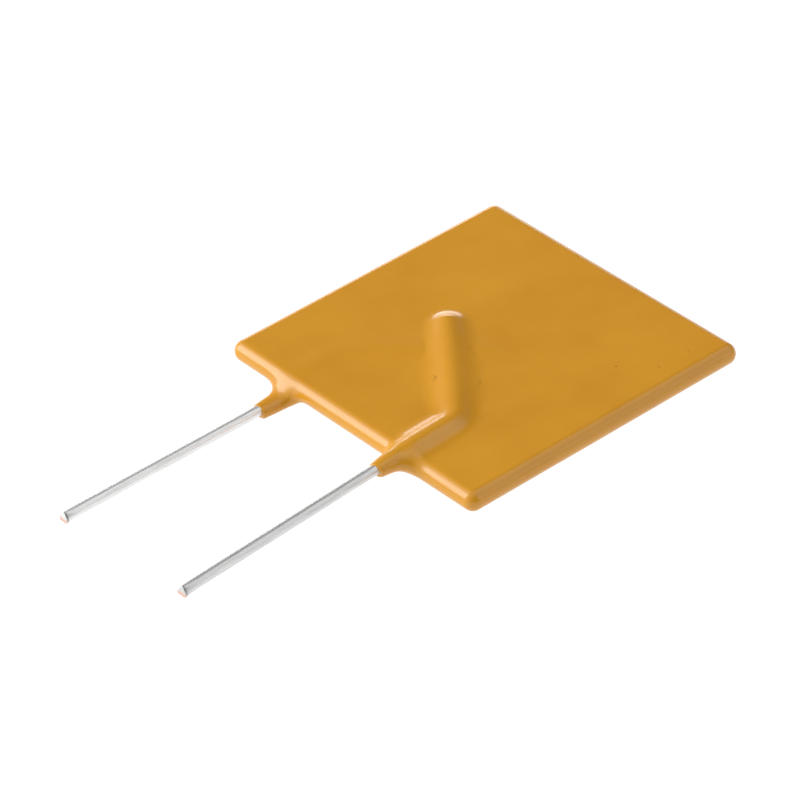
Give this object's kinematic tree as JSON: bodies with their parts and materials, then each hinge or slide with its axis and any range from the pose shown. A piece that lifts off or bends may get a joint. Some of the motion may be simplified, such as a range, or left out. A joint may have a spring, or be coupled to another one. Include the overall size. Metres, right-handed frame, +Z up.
{
  "type": "resettable fuse",
  "caption": "Flat square resettable fuse: a polymer chip with foil faces and soldered wires in a dipped ochre epoxy skin, with round leads from one edge for through-hole soldering.",
  "frame": {"origin": "middle of the part's box on the surface that it lies on, under the crest of the lower ridge", "axes": "+X along the lead edge towards the front lead, +Y from the lead tips into the body, +Z up through the thickness"},
  "size_m": [0.0212, 0.0376, 0.0024],
  "materials": {
    "epoxy": "dipped epoxy powder coating, ochre, softly glossy",
    "polymer": "carbon-filled polyethylene sheet",
    "foil": "nickel-plated copper foil",
    "tinned_wire": "drawn copper wire, tinned bright",
    "solder": "tin solder, reflowed"
  },
  "bodies": {
    "root": {"epoxy_coating": "epoxy", "ptc_core": "polymer", "top_foil": "foil", "bottom_foil": "foil", "front_lead": "tinned_wire", "rear_lead": "tinned_wire", "front_solder": "solder", "rear_solder": "solder"}
  },
  "joints": []
}
